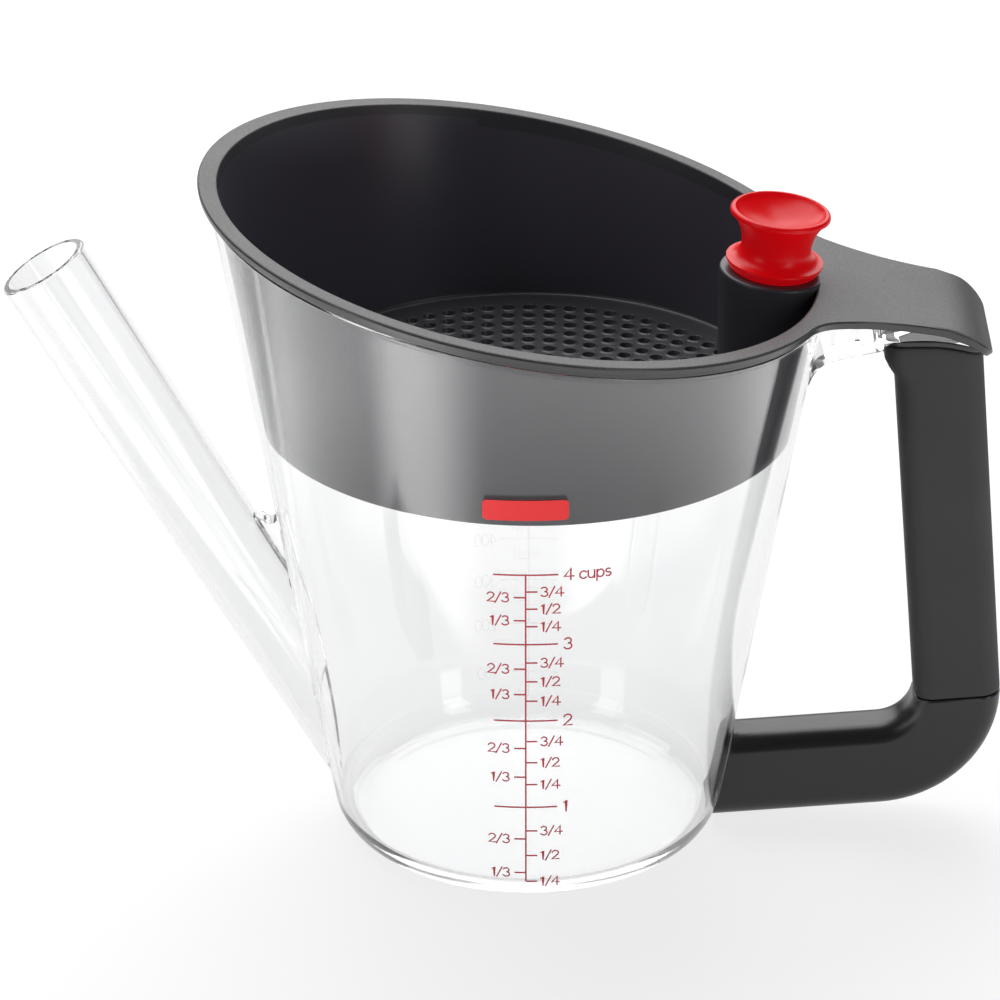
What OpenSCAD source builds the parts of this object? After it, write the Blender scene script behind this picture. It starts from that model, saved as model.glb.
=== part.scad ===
// Fat separator for gravy: a clear conical jug with a low pouring spout, a slanted rim, a lift-out
// strainer with a thumb tab, a silicone stopper kept in a well in the strainer, and a two-part handle.
// Frame: millimetres, +Z up, origin at the centre of the base on the table, +X towards the handle,
// -X towards the spout. Everything but the printed scales is symmetric about the XZ plane.

/* [Cup] */
// Outer radius of the wall's cone where it would meet the table
cup_base_r = 47.5; // [38:0.5:60]
// Outer radius of the cone at the rim's height on the axis
cup_rim_r = 73.7; // [60:0.1:90]
// Height of the slanted rim above the table, on the axis
rim_h = 156; // [132:1:190]
// Slant of the rim, down towards the handle
rim_tilt = 10.4; // [4:0.1:13]
// Wall thickness
cup_wall = 1.4; // [1.2:0.1:2.4]
// Floor thickness
cup_floor = 2.6; // [2:0.1:4]
// Outer radius of the rounded edge under the wall
cup_corner_r = 9; // [5:0.5:12]

/* [Spout] */
// Height at which the spout's centre line comes out of the cup's wall
spout_ref_z = 40; // [36:1:44]
// Distance from the wall to the centre line at that height
spout_off = 0.6; // [0:0.1:3]
// Slope of the spout above the horizontal
spout_angle = 60.5; // [55:0.1:66]
// Length of the spout from that point to its mouth
spout_l = 125.4; // [100:0.2:150]
// Outer radius at the mouth
spout_mouth_r = 11.2; // [10.6:0.1:13]
// Outer radius at the foot
spout_foot_r = 9.7; // [9:0.1:11]
// Wall thickness of the spout
spout_wall = 1.6; // [1.2:0.1:2.2]
// Thickness of the web between spout and cup
spout_web = 5; // [3:0.5:8]
// Height of the top of that web over the point where the centre line comes out
web_rise = 41.5; // [36:0.5:50]
// Lowest level of the opening from the cup into the spout
inlet_low_z = 7; // [6:0.5:9]
// Highest level of that opening
inlet_high_z = 36; // [28:1:44]

/* [Strainer] */
// Height of the strainer's flange
flange_h = 3.5; // [3:0.1:5]
// How far the flange reaches out past the cup's wall
flange_out = 1.9; // [1.2:0.1:3]
// Thickness of the flange's upper lip and of the tab
lip_t = 2; // [1.6:0.1:2.6]
// Wall thickness of the skirt
skirt_t = 1; // [0.9:0.1:1.8]
// Depth of the skirt's lower edge under the rim, on the axis
skirt_depth = 43.6; // [36:0.2:50]
// Slant of the skirt's lower edge, down towards the handle
skirt_tilt = 0.6; // [0:0.1:0.6]
// Thickness of the perforated floor
sieve_t = 1.2; // [1:0.1:1.6]
// Radius of the sieve's holes
hole_r = 1.6; // [1:0.1:1.9]
// Distance from one ring of holes to the next
ring_pitch = 5; // [4.5:0.1:7]
// Number of rings of holes
ring_count = 11; // [6:1:11]

/* [Tab] */
// Half of the tab's width
tab_half_w = 18.3; // [15:0.1:20]
// How far the tab reaches past the grip's centre line
tab_past = 4.1; // [2:0.1:6]
// Radius of the tab's end corners, seen from above
tab_corner_r = 7; // [4:0.5:12]
// Radius of the long curve on each side of the tab
tab_flare_r = 57; // [50:1:64]
// How far before the grip's centre line that curve starts
flare_back = 7.4; // [5:0.1:10]
// Radius of the fillets between tab and rim
tab_fillet_r = 16; // [12:0.5:20]
// How far before the grip's centre line the tab starts to bend down
bend_back = 8.1; // [6:0.1:10]
// Radius of that bend, on top
bend_r = 18.5; // [17:0.1:20]
// Direction, over the horizontal, in which the bend ends
bend_end = 36; // [30:1:45]

/* [Stopper] */
// Distance from the cup's wall in to the stopper's centre, at the top of its well
well_in = 13; // [13:0.1:18]
// Outer radius of the well
well_r = 13; // [12.8:0.1:14]
// Height of the well's top over the rim, at its centre
well_rise = 3.8; // [2:0.1:6]
// Lean of the stopper towards the handle
stopper_lean = 5.5; // [2:0.1:7]
// Depth of the well's bore
well_depth = 20; // [17:0.5:21]
// Radius of the plug at its top
plug_r = 9.3; // [8.8:0.1:9.5]
// Radius of the plug at its end
plug_end_r = 8.6; // [8:0.1:8.8]
// Length of the plug
plug_l = 13; // [9:0.5:15]
// Radius of the stopper's lower flange
collar_r = 11.9; // [11:0.1:12.4]
// Thickness of the flange
collar_t = 2.4; // [2:0.1:3]
// Radius of the waist
waist_r = 8.4; // [7:0.1:9]
// Height of the waist above the well
waist_z = 6; // [5.6:0.1:6.6]
// Radius of the concave finger dish
dish_r = 12.1; // [11.5:0.1:13]
// Height of the dish's lip above the well
dish_z = 15.4; // [14:0.1:18]
// Depth of the dish
dish_depth = 4.2; // [2:0.1:5]

/* [Handle] */
// Distance from the rim's radius out to the grip's centre line at the parting line
grip_out = 33.7; // [32:0.1:40]
// Height of the parting line between grip and elbow
grip_low_z = 35.7; // [33:0.1:40]
// Lean of the grip, in towards the cup at the top
grip_lean = 5.15; // [4.6:0.05:5.7]
// Rise of the lower arm from the cup to the elbow
arm_rise = 4.9; // [4:0.1:5]
// Half of the elbow's and the lower arm's size in side view
arm_a = 11.2; // [10.4:0.1:11.4]
// Radius of the elbow's centre line
elbow_r = 20.6; // [17:0.1:21]
// How far over the parting line the elbow's bend starts
elbow_start = 2; // [0:0.1:4]
// Half of the grip's size in side view
grip_a = 10.75; // [10.4:0.05:11.2]
// Half of the grip's size across
grip_b = 7.6; // [7:0.1:9]
// Radius of the grip's long edges
grip_edge_r = 5; // [4:0.1:6]
// Thickness of the soft sleeve
sleeve_t = 2; // [1.6:0.1:2.4]
// Depth of the handle's arched top under the rim's plane, at the arch's middle
head_drop = 5; // [4.4:0.1:7]
// How far before the grip's centre line the middle of that arch is
head_back = 12.4; // [11:0.1:14]
// Radius of that arch
head_r = 42; // [38:1:48]
// Height of the hard collar between the sleeve and the clear arm
head_collar = 1.6; // [1.2:0.1:2]

/* [Clear arm] */
// Half of the clear arm's width
arm_half_w = 7.6; // [7:0.1:9]
// Depth of the arm's underside under the rim's plane, just outside the rim
under_drop = 13.6; // [12:0.1:16]
// Slope of the underside
under_slope = 0.21; // [0.1:0.01:0.25]
// Radius of the fillet between cup and arm
under_fillet = 7.5; // [6:0.1:8.5]
// Thickness of the arm's side walls, which stand round three pockets that are open to the top
pocket_wall = 1.6; // [1.2:0.1:2.5]
// Thickness of the arm's floor under the pockets
pocket_floor = 2.2; // [1.5:0.1:3]
// Thickness of the two ribs between the pockets
rib_t = 1.3; // [1:0.1:2]
// Distance from the inner rib to the outer rib
rib_pitch = 5.8; // [4:0.1:7]
// Distance that the last pocket reaches past the handle's near side
pocket_past = 3.6; // [2:0.1:5]

/* [Print] */
// Thickness of the print
print_t = 0.12; // [0.08:0.01:0.2]
// Width of the printed lines
line_w = 0.4; // [0.3:0.05:0.6]
// Half length of the long marks
long_mark = 7.6; // [5:0.1:9]
// Length of the short marks
short_mark = 2.8; // [2:0.1:4]
// Width of the plain bar under the rim
bar_w = 20; // [12:0.5:24]
// Height of the bar
bar_h = 5.6; // [4:0.1:6.4]
// Radius of the bar's corners
bar_r = 1.2; // [0.5:0.1:2]
// Depth of the bar's centre under the rim, on the axis
bar_drop = 38.7; // [36:0.1:42]

/* [Fits] */
// Gap between the skirt and the cup's wall
skirt_gap = 0.3; // [0.25:0.05:0.5]
// Gap under what rests on something
seat_gap = 0.3; // [0.25:0.05:0.4]
// Gap between the plug and its well
plug_gap = 0.3; // [0.25:0.05:0.5]
// Gap round the tang and the peg that hold the handle
tang_gap = 0.15; // [0.1:0.05:0.3]

/* [Hidden] */
$fn = 96;
big = 400;

// The wall's cone: radius at height z, moved out by off
slope = (cup_rim_r - cup_base_r) / rim_h;
half_angle = atan(slope);
function cone_r(z, off = 0) = cup_base_r + slope * z + off;

// What follows the rim: a height on its plane at distance x from the axis
function rim_z(x) = rim_h - x * tan(rim_tilt);
skirt_z = rim_h - skirt_depth;
bar_z = rim_h - bar_drop;
well_x = cone_r(rim_z(cup_rim_r - well_in)) - well_in;
well_top_z = rim_z(well_x) + well_rise;
grip_x = cup_rim_r + grip_out;
head_x = grip_x - head_back;
head_z = rim_z(head_x) - head_drop;
tab_end_x = grip_x + tab_past;
tab_flare_x = grip_x - flare_back;
bend_x = grip_x - bend_back;
under_x = cup_rim_r + 2;
under_z = rim_z(under_x) - under_drop;

// What follows the spout's start
spout_ref_x = cone_r(spout_ref_z) + spout_off;
web_top_z = spout_ref_z + web_rise;

// Offsets of the strainer's surfaces from the cup's outer cone
skirt_out_off = -(cup_wall + skirt_gap);
skirt_in_off = skirt_out_off - skirt_t;

// Heights of the strainer's slanted planes, on the axis
flange_low = rim_h + seat_gap;
flange_top = rim_h + flange_h;
lip_low = flange_top - lip_t / cos(rim_tilt);
sieve_low = skirt_z + 66 * tan(skirt_tilt);
sieve_top = sieve_low + sieve_t;

// Grip line, arm line and the elbow between them, in the XZ plane
grip_up = [-sin(grip_lean), cos(grip_lean)];
grip_in = [-cos(grip_lean), -sin(grip_lean)];
grip_foot = [grip_x, grip_low_z];
elbow_c = grip_foot + elbow_start * grip_up + elbow_r * grip_in;
elbow_sweep = 90 + grip_lean - arm_rise;
arm_foot = elbow_c + elbow_r * [sin(arm_rise), -cos(arm_rise)];
arm_reach = arm_foot[0] - cone_r(arm_foot[1]);
grip_l = (head_z - grip_low_z) / cos(grip_lean) + 6;

// The tab's bend
bend_start = [bend_x, flange_top - bend_x * tan(rim_tilt)];
bend_c = bend_start - bend_r * [sin(rim_tilt), cos(rim_tilt)];

// Millilitres in a cup. The printed scales count up the wall's inner cone from scale_zero
cup_ml = 236.6;
scale_r = cup_base_r - cup_wall;
scale_zero = -1.4;
function level_z(ml) =
    scale_zero + (pow(3 * slope * ml * 1000 / PI + pow(scale_r, 3), 1 / 3) - scale_r) / slope;

// Points along an arc about c, from angle a0 to a1
function arc(c, r, a0, a1, steps = 12) =
    [for (i = [0:steps]) let (a = a0 + (a1 - a0) * i / steps) c + r * [cos(a), sin(a)]];
function heading(v) = atan2(v[1], v[0]);

// A solid cone inside the wall's surface moved out by off
module cone_body(off, z0 = 0, z1 = 2 * rim_h) {
    translate([0, 0, z0])
        cylinder(h = z1 - z0, r1 = cone_r(z0, off), r2 = cone_r(z1, off));
}

// Everything under, and everything over, a plane through height h on the axis
module under_plane(h, tilt) {
    translate([0, 0, h])
        rotate([0, tilt, 0])
            translate([-big, -big, -2 * big])
                cube([2 * big, 2 * big, 2 * big]);
}
module over_plane(h, tilt) {
    translate([0, 0, h])
        rotate([0, tilt, 0])
            translate([-big, -big, 0])
                cube([2 * big, 2 * big, 2 * big]);
}

// A flat shape in the XZ plane, made w thick about the plane of symmetry
module side_plate(w) {
    translate([0, w / 2, 0])
        rotate([90, 0, 0])
            linear_extrude(height = w)
                children();
}

module rounded_box_2d(a, b, r) {
    square([2 * a - 2 * r, 2 * b], center = true);
    square([2 * a, 2 * b - 2 * r], center = true);
    for (sx = [-1, 1], sy = [-1, 1])
        translate([sx * (a - r), sy * (b - r)])
            circle(r);
}

// Half section of a cone on a floor at z0 with its lower edge rounded to radius r
module cup_section(off, z0, r, z1) {
    centre_r = cone_r(z0 + r, off) - r / cos(half_angle);
    tangent = [centre_r + r * cos(half_angle), z0 + r - r * sin(half_angle)];
    polygon([[0, z0], [centre_r, z0], tangent, [cone_r(z1, off), z1], [0, z1]]);
    intersection() {
        translate([centre_r, z0 + r])
            circle(r);
        translate([0, z0])
            square([2 * centre_r, r]);
    }
}

module cup_outside() {
    rotate_extrude()
        cup_section(0, 0, cup_corner_r, 1.5 * rim_h);
}

// Straight round piece along the spout's centre line, r0 at the foot and r1 at the mouth
spout_back = 50;
module spout_cone(r0, r1, extra = 0) {
    grow = (r1 - r0) / (spout_back + spout_l);
    translate([-spout_ref_x, 0, spout_ref_z])
        rotate([0, spout_angle - 90, 0])
            translate([0, 0, -spout_back])
                cylinder(h = spout_back + spout_l + extra, r1 = r0, r2 = r1 + grow * extra);
}
module spout_bore(extra = 1) {
    spout_cone(spout_foot_r - spout_wall, spout_mouth_r - spout_wall, extra);
}

// The clear arm's underside meets the cup's wall in a fillet
under_angle = atan(under_slope);
fillet_z = (under_z + under_slope * (cup_base_r + under_fillet / cos(half_angle) - under_x)
    - under_fillet / cos(under_angle)) / (1 - under_slope * slope);
fillet_c = [cone_r(fillet_z) + under_fillet / cos(half_angle), fillet_z];
corner_z = (under_z + under_slope * (cup_base_r - under_x)) / (1 - under_slope * slope);
fillet_foot = fillet_c + (under_fillet + cup_wall / 2) * [-cos(half_angle), sin(half_angle)];
fillet_arm = fillet_c + under_fillet * [-sin(under_angle), cos(under_angle)];
arm_back_x = fillet_foot[0];
arm_step_x = cone_r(rim_h - rim_tilt * 1.2) + flange_out + 2 * seat_gap;
arm_top = lip_low - seat_gap;
arm_ledge = rim_h - 2 * seat_gap;
head_end_x = head_x + 14.5;
function on_slant(x, h) = [x, h - x * tan(rim_tilt)];

module arm_side() {
    difference() {
        union() {
            polygon([
                [arm_back_x, corner_z], fillet_arm,
                [head_end_x, under_z + under_slope * (head_end_x - under_x)],
                on_slant(head_end_x, arm_top), on_slant(arm_step_x, arm_top),
                on_slant(arm_step_x, arm_ledge), on_slant(arm_back_x, arm_ledge)
            ]);
            polygon([fillet_foot, [arm_back_x, corner_z + 1], fillet_arm, fillet_c]);
        }
        translate(fillet_c)
            circle(under_fillet);
        // Past the start of the tab's bend the arm stays under it
        difference() {
            translate(bend_c)
                square([big, big]);
            translate(bend_c)
                circle(bend_r - lip_t - seat_gap);
            polygon([bend_c, bend_c + 60 * [sin(rim_tilt), cos(rim_tilt)], bend_c + [0, 60]]);
        }
    }
}

// Three pockets keep the arm's wall even. They follow the underside, and the ribs part them
head_near_x = head_x - 9.6;
function floor_z(x) = under_z + under_slope * (x - under_x) + pocket_floor / cos(under_angle);
module pocket_side() {
    end_x = head_near_x + pocket_past;
    fillet_floor = fillet_c + (under_fillet + pocket_floor) * [-sin(under_angle), cos(under_angle)];
    difference() {
        polygon([
            [arm_back_x, fillet_c[1]], fillet_c, fillet_floor,
            [end_x, floor_z(end_x)], [end_x, rim_h], [arm_back_x, rim_h]
        ]);
        translate(fillet_c)
            circle(under_fillet + pocket_floor);
        for (x = [arm_step_x - rib_t, arm_step_x - rib_t + rib_pitch])
            translate([x, 0])
                square([rib_t, 2 * rim_h]);
    }
}
module arm_pockets() {
    difference() {
        side_plate(2 * (arm_half_w - pocket_wall))
            pocket_side();
        rotate_extrude()
            cup_section(seat_gap, 0, cup_corner_r, 1.5 * rim_h);
        difference() {
            translate([head_near_x - pocket_floor / 2, -big, 0])
                cube([60, 2 * big, head_z + 2]);
            over_head(-pocket_floor);
        }
    }
}

// Everything over the handle's arched top, dropped by the given amount
module over_head(drop) {
    difference() {
        translate([head_x - 40, -big, head_z - 30])
            cube([80, 2 * big, 60]);
        translate([head_x, big, head_z - head_r])
            rotate([90, 0, 0])
                cylinder(h = 2 * big, r = head_r - drop);
    }
}

// A piece with its own z axis along the grip, starting at the parting line
module on_grip() {
    translate([grip_foot[0], 0, grip_foot[1]])
        rotate([0, -grip_lean, 0])
            children();
}

// A piece about the elbow's centre, with its own x axis along the lower arm
module on_elbow() {
    translate([elbow_c[0], 0, elbow_c[1]])
        rotate([0, -arm_rise, 0])
            children();
}

// The clear arm's tang and the cup's peg go into the handle, which is bonded to both
tang_l = 16;
tang_a = 5;
tang_b = 3;
peg_r = 3.5;
peg_l = 9;
module tang(gap) {
    difference() {
        on_grip()
            translate([-(tang_a + gap), -(tang_b + gap), grip_l - 6 - tang_l - gap])
                cube([2 * (tang_a + gap), 2 * (tang_b + gap), tang_l + 6]);
        over_head(0);
    }
}
module peg(gap) {
    on_elbow()
        translate([peg_l + gap - arm_reach, 0, -elbow_r])
            rotate([0, -90, 0])
                cylinder(h = peg_l + gap + 2, r = peg_r + gap);
}

module cup() {
    color("aliceblue", 0.35) {
        difference() {
            union() {
                intersection() {
                    cup_outside();
                    under_plane(rim_h, rim_tilt);
                }
                difference() {
                    side_plate(2 * arm_half_w)
                        arm_side();
                    // The handle's head is let into the arm from below
                    difference() {
                        translate([head_near_x, -big, 0])
                            cube([60, 2 * big, head_z + 2]);
                        over_head(0);
                    }
                    arm_pockets();
                }
                tang(0);
                peg(0);
            }
            rotate_extrude()
                cup_section(-cup_wall, cup_floor, cup_corner_r - cup_wall, 2 * rim_h);
            intersection() {
                spout_bore();
                translate([-big, -big, inlet_low_z])
                    cube([big, 2 * big, inlet_high_z - inlet_low_z]);
            }
        }
    }
}

// The web fills the narrow V between spout and cup
web_low_z = 62;
function spout_x(z) = -spout_ref_x - (z - spout_ref_z) / tan(spout_angle);

module spout() {
    color("aliceblue", 0.35)
        difference() {
            union() {
                spout_cone(spout_foot_r, spout_mouth_r);
                side_plate(spout_web)
                    polygon([
                        [spout_x(web_low_z), web_low_z], [spout_x(web_top_z + 4), web_top_z + 4],
                        [-cone_r(web_top_z) - 2.5, web_top_z], [-cone_r(web_top_z) + 1, web_top_z + 2],
                        [-cone_r(web_low_z) + 1, web_low_z]
                    ]);
            }
            spout_bore();
            cup_outside();
            translate([-big, -big, -big])
                cube([2 * big, 2 * big, big + 2.5]);
        }
}

module handle_core() {
    color("dimgray")
        difference() {
            union() {
                // Inside the sleeve, and down into the elbow
                on_grip()
                    translate([0, 0, -4])
                        linear_extrude(height = grip_l + 4)
                            rounded_box_2d(grip_a - sleeve_t, grip_b - sleeve_t, grip_edge_r - sleeve_t);
                // Collar between the sleeve and the clear arm
                intersection() {
                    union() {
                        on_grip()
                            linear_extrude(height = grip_l)
                                rounded_box_2d(grip_a, grip_b, grip_edge_r);
                        translate([head_x - 9.4, -grip_b + 1, head_z - 8])
                            cube([12, 2 * grip_b - 2, 12]);
                    }
                    over_head(head_collar);
                }
                // Elbow and lower arm
                difference() {
                    on_elbow() {
                        rotate([90, 0, 0])
                            rotate([0, 0, -90])
                                rotate_extrude(angle = elbow_sweep)
                                    translate([elbow_r, 0])
                                        rounded_box_2d(arm_a, grip_b, grip_edge_r);
                        translate([0, 0, -elbow_r])
                            rotate([0, -90, 0])
                                linear_extrude(height = arm_reach + 8)
                                    rounded_box_2d(arm_a, grip_b, grip_edge_r);
                    }
                    on_grip()
                        translate([-30, -30, 0])
                            cube([60, 60, 60]);
                }
            }
            over_head(0);
            tang(tang_gap);
            peg(tang_gap);
            cup_outside();
            // The arm's end stands clear of the cup's rounded edge
            cylinder(h = cup_corner_r, r = cup_base_r - 1);
        }
}

module handle_sleeve() {
    color("black")
        difference() {
            union() {
                on_grip()
                    linear_extrude(height = grip_l)
                        rounded_box_2d(grip_a, grip_b, grip_edge_r);
                // Finger lip on the cup's side of the sleeve's top
                side_plate(2 * grip_b - 2)
                    polygon([
                        [head_x, head_z - 13], [head_x - 6.2, head_z - 13], [head_x - 6.9, head_z - 9.4],
                        [head_x - 9, head_z - 6], [head_x - 9, head_z], [head_x, head_z]
                    ]);
            }
            over_head(head_collar);
            on_grip()
                translate([0, 0, -1])
                    linear_extrude(height = grip_l + 2)
                        rounded_box_2d(grip_a - sleeve_t, grip_b - sleeve_t, grip_edge_r - sleeve_t);
        }
}

module strainer_inside() {
    cone_body(skirt_in_off);
}

module strainer_skirt() {
    color("dimgray")
        difference() {
            union() {
                intersection() {
                    cone_body(skirt_out_off);
                    over_plane(skirt_z, skirt_tilt);
                    under_plane(flange_top, rim_tilt);
                }
                intersection() {
                    cone_body(flange_out / 2);
                    over_plane(flange_low, rim_tilt);
                    under_plane(flange_top, rim_tilt);
                }
                intersection() {
                    cone_body(flange_out);
                    over_plane(lip_low, rim_tilt);
                    under_plane(flange_top, rim_tilt);
                }
            }
            strainer_inside();
        }
}

// Rings of holes, each with six more than the last, every other ring turned by half a step
module strainer_sieve() {
    color("dimgray")
        difference() {
            cone_body(skirt_in_off, sieve_low, sieve_top);
            translate([0, 0, sieve_low - 1])
                linear_extrude(height = sieve_t + 2)
                    for (k = [1:ring_count])
                        for (i = [0:6 * k - 1])
                            let (a = (i + (k % 2) / 2) * 60 / k,
                                 p = ring_pitch * k * [cos(a), sin(a)])
                                if (norm(p - [well_x, 0]) > well_r + hole_r + 0.6)
                                    translate(p)
                                        circle(hole_r);
        }
}

// Seen from above: a rounded end, straight sides, a long curve on each side and a fillet into the rim
module tab_outline() {
    rim_r = cone_r(flange_top - 68 * tan(rim_tilt), flange_out);
    flare_c = [tab_flare_x, tab_half_w + tab_flare_r];
    // The fillet's centre lies rim_r + r from the axis and flare_r - r from the flare's centre
    d = norm(flare_c);
    from_axis = rim_r + tab_fillet_r;
    from_flare = tab_flare_r - tab_fillet_r;
    along = (pow(from_axis, 2) - pow(from_flare, 2) + pow(d, 2)) / (2 * d);
    across = sqrt(pow(from_axis, 2) - pow(along, 2));
    fillet_mid = [along * flare_c[0] + across * flare_c[1], along * flare_c[1] - across * flare_c[0]] / d;
    turn = heading(fillet_mid - flare_c);
    corner_c = [tab_end_x, tab_half_w] - tab_corner_r * [1, 1];
    edge = concat(
        arc(fillet_mid, tab_fillet_r, heading(fillet_mid) - 180, turn),
        arc(flare_c, tab_flare_r, turn, -90),
        arc(corner_c, tab_corner_r, 90, 0)
    );
    last = len(edge) - 1;
    polygon(concat([[40, 0]], edge, [for (i = [last:-1:0]) [edge[i][0], -edge[i][1]]]));
}

// In side view: a plate in the rim's upper plane that bends down at its end
module tab_side() {
    polygon(concat(
        [on_slant(40, lip_low), on_slant(40, flange_top)],
        arc(bend_c, bend_r, 90 - rim_tilt, bend_end),
        arc(bend_c, bend_r - lip_t, bend_end, 90 - rim_tilt)
    ));
}

module strainer_tab() {
    color("dimgray")
        difference() {
            intersection() {
                translate([0, 0, 100])
                    linear_extrude(height = 80)
                        tab_outline();
                side_plate(200)
                    tab_side();
            }
            cone_body(flange_out);
        }
}

// A piece with its own z axis along the stopper, from the well's top
module on_well() {
    translate([well_x, 0, well_top_z])
        rotate([0, stopper_lean, 0])
            children();
}

module stopper_well() {
    web_z = well_top_z - well_depth - 4;
    color("dimgray")
        difference() {
            intersection() {
                translate([well_x, 0, sieve_top])
                    cylinder(h = 60, r = well_r);
                cone_body(skirt_in_off);
                on_well()
                    translate([-50, -50, -80])
                        cube([100, 100, 80]);
            }
            on_well()
                translate([0, 0, -well_depth])
                    cylinder(h = well_depth + 10, r = plug_r + plug_gap);
            intersection() {
                translate([well_x, 0, sieve_top - 1])
                    cylinder(h = web_z - sieve_top + 1, r = well_r - 1.6);
                cone_body(skirt_in_off - 1.6);
            }
        }
}

module stopper_section() {
    flare = (pow(dish_z - 0.8 - waist_z, 2) + pow(dish_r - waist_r, 2)) / (2 * (dish_r - waist_r));
    fillet = waist_z - seat_gap - collar_t;
    lip = 0.8;
    bowl = (pow(dish_r - lip, 2) + pow(dish_depth, 2)) / (2 * dish_depth);
    edge = collar_t / 2;
    difference() {
        union() {
            // Plug
            polygon([[0, -plug_l], [plug_end_r, -plug_l], [plug_r, seat_gap], [0, seat_gap]]);
            // Lower flange with a round edge
            translate([0, seat_gap])
                square([collar_r - edge, collar_t]);
            translate([collar_r - edge, seat_gap + edge])
                circle(edge);
            // Waist and the fillet under it
            translate([0, seat_gap + collar_t])
                square([waist_r, dish_z - lip - seat_gap - collar_t]);
            difference() {
                translate([waist_r, seat_gap + collar_t])
                    square([fillet, fillet]);
                translate([waist_r + fillet, waist_z])
                    circle(fillet);
            }
            // Flare up to the rounded lip
            difference() {
                translate([waist_r, waist_z])
                    square([dish_r - waist_r, dish_z - lip - waist_z]);
                translate([waist_r + flare, waist_z])
                    circle(flare);
            }
            translate([0, dish_z - lip])
                square([dish_r - lip, lip]);
            translate([dish_r - lip, dish_z - lip])
                circle(lip);
        }
        translate([0, dish_z + bowl - dish_depth])
            circle(bowl);
        translate([-2 * dish_r, -big])
            square([2 * dish_r, 2 * big]);
    }
}

module stopper() {
    color("crimson")
        on_well()
            rotate_extrude()
                stopper_section();
}

// What is printed is a thin skin on the outside of the wall; side is -1 for the front, 1 for the back
module on_wall(side) {
    intersection() {
        difference() {
            cone_body(print_t, cup_corner_r / 2, rim_h - 30);
            cone_body(0, cup_corner_r / 2, rim_h - 30);
        }
        translate([0, side < 0 ? -big : 0, 0])
            translate([-big / 2, 0, 0])
                cube([big, big, big]);
        side_plate(2 * big)
            children();
    }
}
module mark(x0, x1, z) {
    translate([x0, z - line_w / 2])
        square([x1 - x0, line_w]);
}

module cup_scale() {
    color("firebrick")
        on_wall(-1) {
            translate([-line_w / 2, level_z(cup_ml / 4)])
                square([line_w, level_z(4 * cup_ml) - level_z(cup_ml / 4)]);
            for (cups = [1:4])
                mark(-long_mark, long_mark, level_z(cups * cup_ml));
            for (cups = [0:3])
                for (part = [1 / 4, 1 / 2, 3 / 4])
                    mark(0, short_mark, level_z((cups + part) * cup_ml));
            for (cups = [0:3])
                for (part = [1 / 3, 2 / 3])
                    mark(-short_mark, 0, level_z((cups + part) * cup_ml));
        }
}

module ml_scale() {
    color("firebrick")
        on_wall(1) {
            translate([-line_w / 2, level_z(50)])
                square([line_w, level_z(950) - level_z(50)]);
            for (ml = [100:100:900])
                mark(-long_mark, long_mark, level_z(ml));
            for (ml = [50:100:950])
                mark(-short_mark, 0, level_z(ml));
        }
}

module plain_bar() {
    color("red")
        on_wall(-1)
            translate([0, bar_z])
                rounded_box_2d(bar_w / 2, bar_h / 2, bar_r);
}

cup();
spout();
handle_core();
handle_sleeve();
strainer_skirt();
strainer_sieve();
strainer_tab();
stopper_well();
stopper();
cup_scale();
ml_scale();
plain_bar();
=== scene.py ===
from math import acos, atan, atan2, cos, degrees, hypot, pi, radians, sin, sqrt, tan

import bmesh
import bpy
from mathutils import Matrix, Vector


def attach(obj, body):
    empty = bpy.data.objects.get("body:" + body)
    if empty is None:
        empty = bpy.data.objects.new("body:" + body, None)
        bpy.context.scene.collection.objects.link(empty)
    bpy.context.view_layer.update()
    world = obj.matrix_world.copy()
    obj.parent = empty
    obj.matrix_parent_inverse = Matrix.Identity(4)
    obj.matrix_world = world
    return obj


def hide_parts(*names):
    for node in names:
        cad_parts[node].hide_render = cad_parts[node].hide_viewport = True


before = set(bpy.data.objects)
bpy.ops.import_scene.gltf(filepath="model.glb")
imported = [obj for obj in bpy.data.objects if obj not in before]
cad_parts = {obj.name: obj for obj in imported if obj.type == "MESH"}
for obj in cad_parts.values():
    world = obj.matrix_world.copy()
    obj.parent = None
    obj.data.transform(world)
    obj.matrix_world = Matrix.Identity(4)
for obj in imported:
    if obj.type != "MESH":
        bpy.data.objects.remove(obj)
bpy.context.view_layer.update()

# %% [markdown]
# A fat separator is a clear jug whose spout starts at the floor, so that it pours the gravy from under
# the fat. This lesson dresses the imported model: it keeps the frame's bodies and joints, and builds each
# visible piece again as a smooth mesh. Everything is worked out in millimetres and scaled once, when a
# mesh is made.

MM = 0.001
scene = bpy.context.scene

# %% [markdown]
# The jug's wall is a cone, and its rim is cut by a slanted plane. These two facts place nearly everything
# else: the strainer hangs on the slanted rim, and the printed marks wrap round the cone.

# %% The cone and the slanted rim
base_r, rim_r, rim_h = 47.5, 73.7, 156.0
tilt = radians(10.4)
slope = (rim_r - base_r) / rim_h
cone_angle = atan(slope)
cup_wall, cup_floor, cup_corner, bead = 1.4, 2.6, 9.0, 0.55


def cone_r(z, off=0.0):
    """Radius of the jug's outer wall at height z, moved out by off."""
    return base_r + slope * z + off


def rim_z(x, over=0.0):
    """Height of the rim's plane, or of one over it, at distance x along the handle's side."""
    return rim_h + over - x * tan(tilt)


def cone_meets_rim(angle, off=0.0, over=0.0):
    """Where the cone moved out by off meets the plane over the rim, as (radius, height)."""
    t = cos(angle) * tan(tilt)
    z = (rim_h + over - (base_r + off) * t) / (1 + slope * t)
    return cone_r(z, off), z


print("rim: low side", round(cone_meets_rim(0)[1], 1), "high side", round(cone_meets_rim(pi)[1], 1))

# %% [markdown]
# Moulded edges are never sharp: each has a small radius, and that radius is what draws the thin bright
# lines in a photograph. So every outline here is given as corners with radii, and one helper turns them
# into points. It always gives the same number of points, so that outlines at different angles can be
# joined into a skin.

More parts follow.
